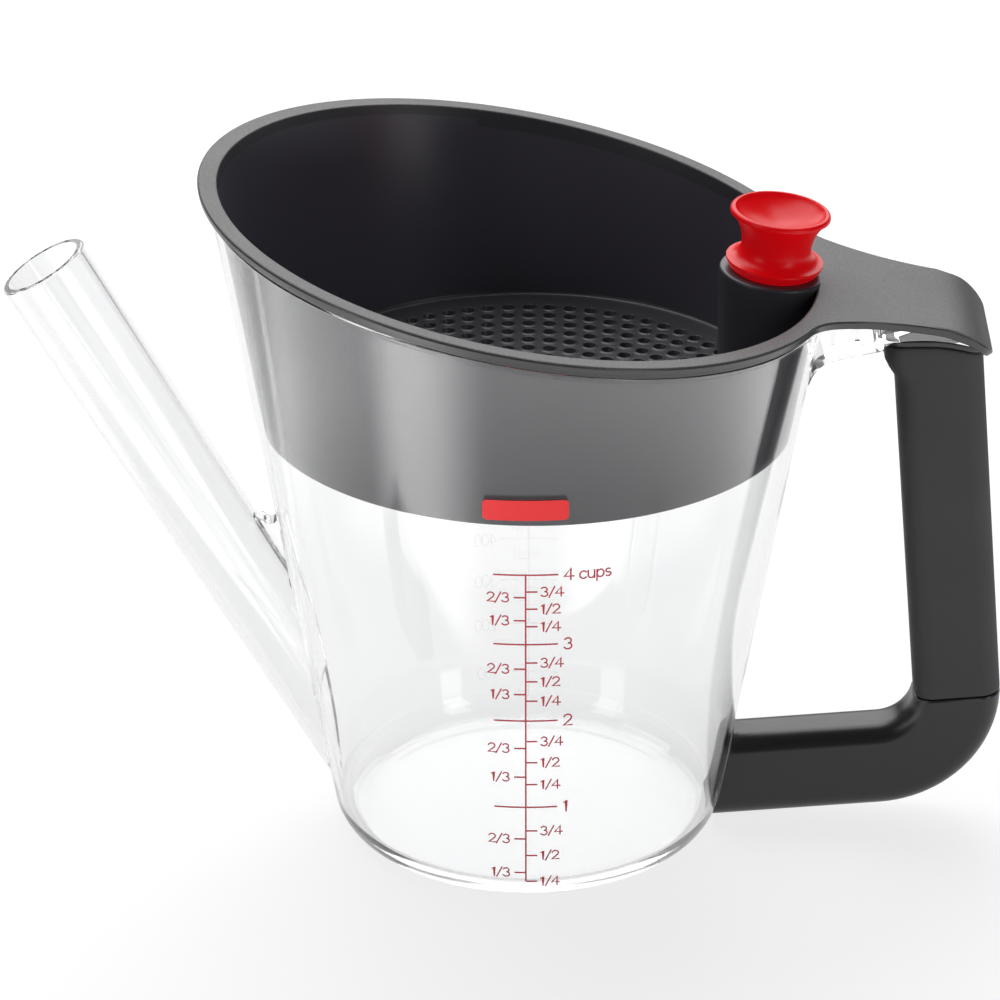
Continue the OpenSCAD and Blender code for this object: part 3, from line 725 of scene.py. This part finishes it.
GLYPHS = {
    "0": (0.62, [bow(0.31, 0.5, 0.27, 0.5, 0, 360, 28)]),
    "1": (0.40, [[(0.08, 0.84), (0.24, 1.0), (0.24, 0.0)]]),
    "2": (0.62, [bow(0.31, 0.72, 0.25, 0.28, 165, -38) + [(0.05, 0.0), (0.6, 0.0)]]),
    "3": (0.62, [bow(0.29, 0.76, 0.22, 0.24, 150, -90) + bow(0.29, 0.27, 0.26, 0.27, 90, -150)[1:]]),
    "4": (0.66, [[(0.46, 0.0), (0.46, 1.0), (0.04, 0.3), (0.64, 0.3)]]),
    "5": (0.62, [[(0.55, 1.0), (0.16, 1.0), (0.1, 0.56)] + bow(0.29, 0.32, 0.27, 0.32, 110, -150)]),
    "6": (0.62, [[(0.46, 1.0), (0.1, 0.48)] + bow(0.31, 0.3, 0.26, 0.3, 145, -215, 24)]),
    "7": (0.60, [[(0.04, 1.0), (0.56, 1.0), (0.2, 0.0)]]),
    "8": (0.62, [bow(0.31, 0.76, 0.21, 0.24, -90, 270, 24), bow(0.31, 0.27, 0.26, 0.27, 90, -270, 24)]),
    "9": (0.62, [[(0.16, 0.0), (0.52, 0.52)] + bow(0.31, 0.7, 0.26, 0.3, -35, 325, 24)]),
    "/": (0.50, [[(0.04, -0.08), (0.46, 1.06)]]),
    " ": (0.34, []),
    "c": (0.54, [bow(0.3, 0.33, 0.25, 0.33, 45, 315)]),
    "u": (0.58, [[(0.07, 0.66), (0.07, 0.25)] + bow(0.28, 0.25, 0.21, 0.25, 180, 360) + [(0.49, 0.66)],
                 [(0.49, 0.25), (0.49, 0.0)]]),
    "p": (0.60, [[(0.08, 0.66), (0.08, -0.3)], bow(0.31, 0.33, 0.23, 0.33, 180, -180, 24)]),
    "s": (0.50, [bow(0.24, 0.49, 0.16, 0.17, 50, 270) + bow(0.24, 0.17, 0.18, 0.17, 90, -140)[1:]]),
    "m": (0.86, [[(0.07, 0.66), (0.07, 0.0)],
                 [(0.07, 0.4)] + bow(0.24, 0.44, 0.17, 0.22, 180, 0) + [(0.41, 0.0)],
                 bow(0.58, 0.44, 0.17, 0.22, 180, 0) + [(0.75, 0.0)]]),
    "l": (0.24, [[(0.1, 1.0), (0.1, 0.0)]]),
}


def width_of(text, size):
    return sum(GLYPHS[c][0] for c in text) * size


print(len(GLYPHS), "glyphs; 'cups' is", round(width_of("cups", 3.2), 1), "mm wide")

# %% [markdown]
# A ribbon has four long edges: two on the wall and two a tenth of a millimetre over it. Positions are
# given as millimetres round the wall and height, and turned into an angle and a radius of the cone.

# %% Figures on the wall
def on_wall(u, z, out, middle):
    """Point on the cone: u round the wall from the middle direction, seen from outside."""
    r = cone_r(z, out)
    a = middle + u / cone_r(z)
    return Vector((r * cos(a), r * sin(a), z)) * MM


def ribbon(bm, points, half_w, middle):
    points = [Vector(p) for p in points]
    loops = []
    for i, p in enumerate(points):
        before, after = points[max(i - 1, 0)], points[min(i + 1, len(points) - 1)]
        along = (after - before).normalized()
        first, last = i == 0, i == len(points) - 1
        end = p + along * (half_w * (last - first))
        side = Vector((-along.y, along.x))
        if not first and not last:
            half_turn = (p - before).normalized().dot(side), (after - p).normalized().dot(side)
            side /= max(0.5, sqrt(max(0.0, 1 - half_turn[0] ** 2)))
        left, right = end + side * half_w, end - side * half_w
        loops.append([bm.verts.new(on_wall(q.x, q.y, out, middle))
                      for q, out in ((left, 0.01), (right, 0.01), (right, 0.11), (left, 0.11))])
    for a, b in zip(loops, loops[1:]):
        band(bm, a, b)
    bm.faces.new(loops[0][::-1])
    bm.faces.new(loops[-1])


def write(bm, text, u, z, size, half_w, middle, align=0.0, spread=1.0):
    """Text with its middle at height z. align 0 starts at u, 1 ends there. spread widens the glyphs."""
    wide = size * spread
    u -= align * width_of(text, wide)
    for c in text:
        width, strokes = GLYPHS[c]
        for stroke in strokes:
            ribbon(bm, [(u + x * wide, z + (y - 0.5) * size) for x, y in stroke], half_w, middle)
        u += width * wide


scale_zero = -1.4


def level_z(ml):
    """Height to which so many millilitres fill the cup, counted from where the scale begins."""
    inner = base_r - cup_wall
    return scale_zero + ((3 * slope * ml * 1000 / pi + inner ** 3) ** (1 / 3) - inner) / slope


cup_ml, front, behind = 236.6, -pi / 2, pi / 2
small, tall = 2.6, 3.2
cups = bmesh.new()
for cup in range(4):
    for text, part in (("1/4", 1 / 4), ("1/2", 1 / 2), ("3/4", 3 / 4)):
        write(cups, text, 3.45, level_z((cup + part) * cup_ml), small, 0.17, front, spread=1.18)
    for text, part in (("1/3", 1 / 3), ("2/3", 2 / 3)):
        write(cups, text, -3.8, level_z((cup + part) * cup_ml), small, 0.17, front, align=1.0, spread=1.18)
    whole = ("1", "2", "3", "4 cups")[cup]
    write(cups, whole, 8.9, level_z((cup + 1) * cup_ml), tall, 0.19, front, spread=1.12)
cup_figures = finish_mesh("cup_figures", cups)
litres = bmesh.new()
for ml in range(100, 1000, 100):
    write(litres, str(ml) + (" ml" if ml == 900 else ""), 8.6, level_z(ml), tall, 0.16, behind)
ml_figures = finish_mesh("ml_figures", litres)
print("1 cup at", round(level_z(cup_ml), 1), "mm, 4 cups at", round(level_z(4 * cup_ml), 1), "mm")

# %% [markdown]
# Materials come next. Moulded plastic is never quite even: it has a fine grain and a slow waviness. One
# node group gives both, and every material uses it with its own scale and strength.

# %% A shared group for moulded surfaces
def link_all(tree, pairs):
    for a, b in pairs:
        tree.links.new(a, b)


def node(tree, kind, **settings):
    made = tree.nodes.new(kind)
    for key, value in settings.items():
        setattr(made, key, value)
    return made


def surface_group():
    """Mask of a fine grain, mask of a slow drift, and a normal bumped by both."""
    tree = bpy.data.node_groups.new("moulded surface", "ShaderNodeTree")
    settings = {"Grain Size": 0.4, "Grain Depth": 0.02, "Drift Size": 20.0, "Drift Depth": 0.02}
    for name, value in settings.items():
        socket = tree.interface.new_socket(name, in_out="INPUT", socket_type="NodeSocketFloat")
        socket.default_value = value
    for name, kind in (("Grain", "Float"), ("Drift", "Float"), ("Normal", "Vector")):
        tree.interface.new_socket(name, in_out="OUTPUT", socket_type="NodeSocket" + kind)
    start, end = node(tree, "NodeGroupInput"), node(tree, "NodeGroupOutput")
    where = node(tree, "ShaderNodeTexCoord")
    noises = []
    for size, detail in (("Grain Size", 2.0), ("Drift Size", 1.0)):
        scale = node(tree, "ShaderNodeMath", operation="DIVIDE")
        scale.inputs[0].default_value = 1000.0
        noise = node(tree, "ShaderNodeTexNoise")
        noise.inputs["Detail"].default_value = detail
        link_all(tree, [(start.outputs[size], scale.inputs[1]), (scale.outputs[0], noise.inputs["Scale"]),
                        (where.outputs["Object"], noise.inputs["Vector"])])
        noises.append(noise.outputs["Fac"])
    bumps = []
    for noise, depth in zip(noises, ("Grain Depth", "Drift Depth")):
        height = node(tree, "ShaderNodeMath", operation="MULTIPLY")
        bump = node(tree, "ShaderNodeBump")
        bump.inputs["Distance"].default_value = MM
        link_all(tree, [(noise, height.inputs[0]), (start.outputs[depth], height.inputs[1]),
                        (height.outputs[0], bump.inputs["Height"])])
        bumps.append(bump)
    link_all(tree, [(bumps[1].outputs[0], bumps[0].inputs["Normal"]),
                    (bumps[0].outputs[0], end.inputs["Normal"]),
                    (noises[0], end.inputs["Grain"]), (noises[1], end.inputs["Drift"])])
    return tree


surface = surface_group()
print("group outputs:", [item.name for item in surface.interface.items_tree if item.in_out == "OUTPUT"])

# %% [markdown]
# Opaque parts differ only in colour, gloss and grain: the strainer is a satin dark plastic, the sleeve a
# matte soft one, the stopper a shinier silicone. One function builds them all, with two tones mixed by
# the grain. The strainer's plastic has three more copies with painted light and shade: its skirt is
# painted lighter, its inside has a tone of its own that lifts its shade, and the outer side of its flange
# is painted darker. Silicone also scatters light inside itself, so its shaded sides stay red: a little
# emission of its own colour, a painted glow, stands for that. The pale ink is nearly transparent, because
# the back scale is only just seen through the jug.

# %% Opaque materials
def opaque(name, dark, light, rough, grain=(0.4, 0.02), drift=(20.0, 0.02), coat=0.0, specular=0.5):
    """Material with two tones and two roughnesses, both mixed by the shared group's masks."""
    made = bpy.data.materials.new(name)
    made.use_nodes = True
    tree = made.node_tree
    shader = tree.nodes["Principled BSDF"]
    shader.inputs["Specular IOR Level"].default_value = specular
    shader.inputs["Coat Weight"].default_value = coat
    shader.inputs["Coat Roughness"].default_value = 0.12
    made_of = node(tree, "ShaderNodeGroup", node_tree=surface)
    for key, value in (("Grain Size", grain[0]), ("Grain Depth", grain[1]), ("Drift Size", drift[0]),
                       ("Drift Depth", drift[1])):
        made_of.inputs[key].default_value = value
    tone = node(tree, "ShaderNodeMix", data_type="RGBA")
    tone.inputs["A"].default_value, tone.inputs["B"].default_value = (*dark, 1), (*light, 1)
    gloss = node(tree, "ShaderNodeMapRange")
    gloss.inputs["To Min"].default_value, gloss.inputs["To Max"].default_value = rough
    link_all(tree, [(made_of.outputs["Grain"], tone.inputs["Factor"]),
                    (tone.outputs["Result"], shader.inputs["Base Color"]),
                    (made_of.outputs["Drift"], gloss.inputs["Value"]),
                    (gloss.outputs["Result"], shader.inputs["Roughness"]),
                    (made_of.outputs["Normal"], shader.inputs["Normal"])])
    return made


dark_plastic = opaque("dark textured plastic", (0.01, 0.01, 0.012), (0.13, 0.13, 0.135), (0.42, 0.5),
                      grain=(0.45, 0.05))
# Three copies of the strainer's plastic carry painted light and shade: the skirt's is painted lighter and a
# little purple, and is also smoother; the inside's tone is painted light that lifts its shade; the outer
# edge's is painted darker, and glossier.
skirt_painted_light_plastic = opaque("dark plastic, skirt painted light", (0.078, 0.074, 0.096), (0.084, 0.08, 0.102), (0.26, 0.32),
                        grain=(0.8, 0.002))
inside_painted_light_plastic = opaque("dark plastic, inside painted light", (0.05, 0.049, 0.058), (0.06, 0.059, 0.068), (0.34, 0.42),
                       grain=(0.5, 0.01))
edge_painted_shade_plastic = opaque("dark plastic, outer edge painted shade", (0.03, 0.03, 0.032), (0.038, 0.038, 0.04), (0.2, 0.28),
                      grain=(0.5, 0.006))
soft_rubber = opaque("soft sleeve", (0.028, 0.028, 0.029), (0.04, 0.04, 0.041), (0.6, 0.7),
                     grain=(0.25, 0.02))
hard_black = opaque("hard black plastic", (0.018, 0.018, 0.019), (0.024, 0.024, 0.026), (0.28, 0.34),
                    grain=(0.5, 0.004))
silicone = opaque("red silicone", (0.48, 0.0, 0.001), (0.52, 0.001, 0.003), (0.28, 0.34), grain=(0.6, 0.004),
                  specular=0.25)
# The emission paints a glow of the silicone's own red over the stopper, which lifts its shaded sides.
painted_glow = silicone.node_tree.nodes["Principled BSDF"].inputs
painted_glow["Emission Color"].default_value = (1, 0.004, 0.01, 1)
painted_glow["Emission Strength"].default_value = 0.27
dark_red_ink = opaque("dark red ink", (0.42, 0.02, 0.035), (0.52, 0.03, 0.045), (0.4, 0.5))
pale_ink = opaque("pale ink", (0.8, 0.78, 0.78), (0.85, 0.83, 0.83), (0.4, 0.5))
pale_ink.node_tree.nodes["Principled BSDF"].inputs["Alpha"].default_value = 0.05
bright_red_ink = opaque("bright red ink", (0.76, 0.008, 0.012), (0.84, 0.014, 0.018), (0.45, 0.55))
print(surface.users, "opaque materials share the group")

# %% [markdown]
# Clear plastic is a principled shader with full transmission. A real clear jug lets lamps through, but a
# path tracer would give it a heavy shadow, so for shadow rays only the shader is exchanged for a
# transparent one.

# %% Clear material
def clear(name, tint, ior, rough):
    made = bpy.data.materials.new(name)
    made.use_nodes = True
    tree = made.node_tree
    shader = tree.nodes["Principled BSDF"]
    shader.inputs["Transmission Weight"].default_value = 1.0
    shader.inputs["IOR"].default_value = ior
    moulded = node(tree, "ShaderNodeGroup", node_tree=surface)
    settings = {"Grain Size": 3.0, "Grain Depth": 0.0006, "Drift Size": 26.0, "Drift Depth": 0.03}
    for key, value in settings.items():
        moulded.inputs[key].default_value = value
    colour = node(tree, "ShaderNodeMix", data_type="RGBA")
    colour.inputs["A"].default_value, colour.inputs["B"].default_value = (*tint, 1), (1, 1, 1, 1)
    gloss = node(tree, "ShaderNodeMapRange")
    gloss.inputs["To Min"].default_value, gloss.inputs["To Max"].default_value = rough
    let_through = node(tree, "ShaderNodeBsdfTransparent")
    let_through.inputs["Color"].default_value = (0.88, 0.88, 0.88, 1)
    path = node(tree, "ShaderNodeLightPath")
    mix = node(tree, "ShaderNodeMixShader")
    link_all(tree, [(moulded.outputs["Drift"], colour.inputs["Factor"]),
                    (colour.outputs["Result"], shader.inputs["Base Color"]),
                    (moulded.outputs["Grain"], gloss.inputs["Value"]),
                    (gloss.outputs["Result"], shader.inputs["Roughness"]),
                    (moulded.outputs["Normal"], shader.inputs["Normal"]),
                    (path.outputs["Is Shadow Ray"], mix.inputs["Fac"]),
                    (shader.outputs[0], mix.inputs[1]), (let_through.outputs[0], mix.inputs[2]),
                    (mix.outputs[0], tree.nodes["Material Output"].inputs["Surface"])])
    return made


clear_plastic = clear("clear jug plastic", (0.97, 0.975, 0.98), 1.5, (0.0, 0.02))
print(clear_plastic.name, "has", len(clear_plastic.node_tree.nodes), "nodes")

# %% [markdown]
# Each piece is given to the body that it moves with, and gets its material. Where a piece takes the place
# of imported nodes, those are named, so that nothing is shown twice.

# %% Dressing the pieces
dress(jug, "jug", "clear_plastic", clear_plastic, "cup", "spout")
dress(handle_core, "jug", "black_plastic", hard_black, "handle_core")
dress(collar, "jug", "black_plastic", hard_black)
dress(grip_sleeve, "jug", "soft_grip", soft_rubber, "handle_sleeve")
dress(strainer_shell, "strainer", "grey_black_plastic", dark_plastic, "strainer_skirt", "strainer_tab")
# The skirt, the inner edge and the outer side of the flange get these copies, painted light and painted
# shade, chosen by where each face is and which way it faces.
for painted_copy in (skirt_painted_light_plastic, inside_painted_light_plastic, edge_painted_shade_plastic):
    strainer_shell.data.materials.append(painted_copy)
skirt_faces_painted_light, inner_faces_painted_light, outer_faces_painted_shade = 1, 2, 3
for face in strainer_shell.data.polygons:
    x, y, z = face.center / MM
    if z - rim_z(x) < 0.2 and x < 75:
        face.material_index = skirt_faces_painted_light
    elif hypot(x, y) < cone_r(z, skirt_in + 0.3) and z < rim_z(x, flange_h - 0.6):
        face.material_index = inner_faces_painted_light
    elif face.normal.z < 0.5 and hypot(x, y) > cone_r(z):
        face.material_index = outer_faces_painted_shade
dress(sieve_plate, "strainer", "grey_black_plastic", inside_painted_light_plastic, "strainer_sieve")
dress(stopper_well, "strainer", "grey_black_plastic", inside_painted_light_plastic, "stopper_well")
dress(stopper, "stopper", "red_silicone", silicone, "stopper")
dress(cup_figures, "jug", "dark_red_print", dark_red_ink)
dress(ml_figures, "jug", "pale_print", pale_ink)
for name, ink in (("cup_scale", dark_red_ink), ("ml_scale", pale_ink), ("plain_bar", bright_red_ink)):
    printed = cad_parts[name].data
    printed.materials.clear()
    printed.materials.append(ink)

# %% [markdown]
# The photograph has a plain white ground. Most of the floor's white is emission, and a diffuse shader
# adds the rest, so that shadows still show. Outside the picture the floor is brighter in places, and the
# skirt mirrors those.

# %% Floor
def ramp(tree, value, start, end, low=0.0, high=1.0):
    """Smooth step from low to high while value goes from start to end."""
    step = node(tree, "ShaderNodeMapRange", interpolation_type="SMOOTHSTEP")
    for name, number in (("From Min", start), ("From Max", end), ("To Min", low), ("To Max", high)):
        step.inputs[name].default_value = number
    tree.links.new(value, step.inputs["Value"])
    return step.outputs["Result"]


def combine_values(tree, how, a, b):
    made = node(tree, "ShaderNodeMath", operation=how)
    for socket, value in zip(made.inputs, (a, b)):
        if isinstance(value, (int, float)):
            socket.default_value = value
        else:
            tree.links.new(value, socket)
    return made.outputs[0]


def floor_material():
    """White sweep. Outside the picture it is brighter further out, and brightest at the front left."""
    made = bpy.data.materials.new("white sweep")
    made.use_nodes = True
    tree = made.node_tree
    shader = tree.nodes["Principled BSDF"]
    shader.inputs["Roughness"].default_value = 0.9
    shader.inputs["Specular IOR Level"].default_value = 0.0
    where, split = node(tree, "ShaderNodeTexCoord"), node(tree, "ShaderNodeSeparateXYZ")
    tree.links.new(where.outputs["Object"], split.inputs[0])
    x, y = split.outputs["X"], split.outputs["Y"]
    far = node(tree, "ShaderNodeVectorMath", operation="LENGTH")
    tree.links.new(where.outputs["Object"], far.inputs[0])
    turn = combine_values(tree, "ARCTAN2", x, combine_values(tree, "MULTIPLY", y, -1.0))
    sideways = combine_values(tree, "ABSOLUTE", x, 0.0)
    below, beside = ramp(tree, y, -0.115, -0.13), ramp(tree, sideways, 0.14, 0.155)
    beside = combine_values(tree, "MULTIPLY", beside, ramp(tree, y, 0.12, 0.04))
    hidden = combine_values(tree, "MAXIMUM", below, beside)
    glow = combine_values(tree, "MULTIPLY", ramp(tree, turn, radians(-62), radians(-44), 0.0, 2.7),
                          ramp(tree, turn, radians(-12), radians(-38)))
    outward = ramp(tree, far.outputs["Value"], 0.16, 0.25, 0.0, 0.95)
    near = ramp(tree, far.outputs["Value"], 0.6, 0.4)
    cards = combine_values(tree, "MULTIPLY", combine_values(tree, "ADD", glow, outward), near)
    cards = combine_values(tree, "MULTIPLY", cards, hidden)
    level = combine_values(tree, "ADD", cards, 1.0)
    colour = node(tree, "ShaderNodeCombineColor")
    tone = combine_values(tree, "MULTIPLY", level, 0.3)
    for i in range(3):
        tree.links.new(tone, colour.inputs[i])
    shader.inputs["Emission Color"].default_value = (1, 1, 1, 1)
    path = node(tree, "ShaderNodeLightPath")
    lift = combine_values(tree, "MULTIPLY", path.outputs["Is Camera Ray"], 0.13)
    shine = combine_values(tree, "ADD", combine_values(tree, "MULTIPLY", level, 0.64), lift)
    link_all(tree, [(colour.outputs["Color"], shader.inputs["Base Color"]),
                    (shine, shader.inputs["Emission Strength"])])
    return made


bm = bmesh.new()
bmesh.ops.create_grid(bm, x_segments=8, y_segments=8, size=3.0)
floor = finish_mesh("floor", bm)
floor.data.materials.append(floor_material())
floor.location.z = -0.0004
print("the floor is", round(floor.dimensions.x, 1), "m wide")

# %% [markdown]
# The world is white for the camera and grey through clear plastic. To everything else it is dim, a little
# less so behind the jug, because the lamps and the white floor give the light.

# %% World
world = bpy.data.worlds.new("studio")
scene.world = world
world.use_nodes = True
sky = world.node_tree
background = sky.nodes["Background"]
where, split = node(sky, "ShaderNodeTexCoord"), node(sky, "ShaderNodeSeparateXYZ")
side = node(sky, "ShaderNodeMapRange", interpolation_type="SMOOTHSTEP")
side.inputs["From Min"].default_value, side.inputs["From Max"].default_value = -0.35, 0.35
side.inputs["To Min"].default_value, side.inputs["To Max"].default_value = 0.015, 0.05
path = node(sky, "ShaderNodeLightPath")
through = combine_values(sky, "MULTIPLY", path.outputs["Is Transmission Ray"], 0.25)
lit = combine_values(sky, "MAXIMUM", side.outputs["Result"], through)
background.inputs["Color"].default_value = (1, 1, 1, 1)
seen = node(sky, "ShaderNodeMix", data_type="FLOAT")
seen.inputs["B"].default_value = 1.0
link_all(sky, [(where.outputs["Generated"], split.inputs[0]), (split.outputs["Y"], side.inputs["Value"]),
               (lit, seen.inputs["A"]), (path.outputs["Is Camera Ray"], seen.inputs["Factor"]),
               (seen.outputs["Result"], background.inputs["Strength"])])
print("the world has", len(sky.nodes), "nodes")

# %% [markdown]
# Four soft lamps: two large ones above and behind give the tops their light, and two tall ones at the
# front draw the soft upright highlights on the skirt and the handle.

# %% Lamps
def lamp(name, place, aim, size, power):
    light = bpy.data.lights.new(name, "AREA")
    light.shape, light.size, light.size_y, light.energy = "RECTANGLE", size[0], size[1], power
    holder = bpy.data.objects.new(name, light)
    scene.collection.objects.link(holder)
    holder.location = place
    holder.rotation_euler = (Vector(aim) - Vector(place)).to_track_quat("-Z", "Y").to_euler()
    return holder


middle = (0, 0, 0.1)
lamp("top light", (-0.2, 0.5, 1.2), middle, (1.3, 1.0), 14)
lamp("back light", (0.0, 1.6, 0.95), middle, (2.0, 1.0), 16)
lamp("left light", (-0.95, -0.75, 0.45), middle, (0.35, 0.9), 2.5)
lamp("right light", (0.9, -0.85, 0.5), middle, (0.3, 0.9), 2.5)
print(len(bpy.data.lights), "lamps")

# %% [markdown]
# The camera's place was found by laying the model's edges over the photograph: a long lens from about a
# metre away, looking down by 26 degrees. Many bounces are allowed, because a ray crosses many clear
# walls. Light focused by the clear plastic is left out, because its shadow rays already let the light
# through.

# %% Camera
elevation, azimuth, roll, distance = radians(26.27), radians(0.8), radians(-0.122), 1117.9
back = Vector((sin(azimuth) * cos(elevation), -cos(azimuth) * cos(elevation), sin(elevation)))
right = Vector((cos(azimuth), sin(azimuth), 0))
up = back.cross(right)
aim = Vector((0, 0, 86.9)) - right * 6.8
lens = bpy.data.cameras.new("photo lens")
lens.lens, lens.sensor_width, lens.clip_end = 163.65, 36.0, 50.0
camera = bpy.data.objects.new("camera", lens)
scene.collection.objects.link(camera)
turned_right, turned_up = right * cos(roll) + up * sin(roll), up * cos(roll) - right * sin(roll)
camera.matrix_world = Matrix.Translation((aim + back * distance) * MM) @ Matrix(
    (turned_right, turned_up, back)).transposed().to_4x4()
scene.camera = camera
scene.view_settings.view_transform = "Standard"
for kind in ("max_bounces", "transmission_bounces", "glossy_bounces", "transparent_max_bounces"):
    setattr(scene.cycles, kind, 96)
scene.cycles.caustics_refractive = False
scene.cycles.use_denoising = True
print("the camera looks down by", round(degrees(elevation), 1), "degrees")
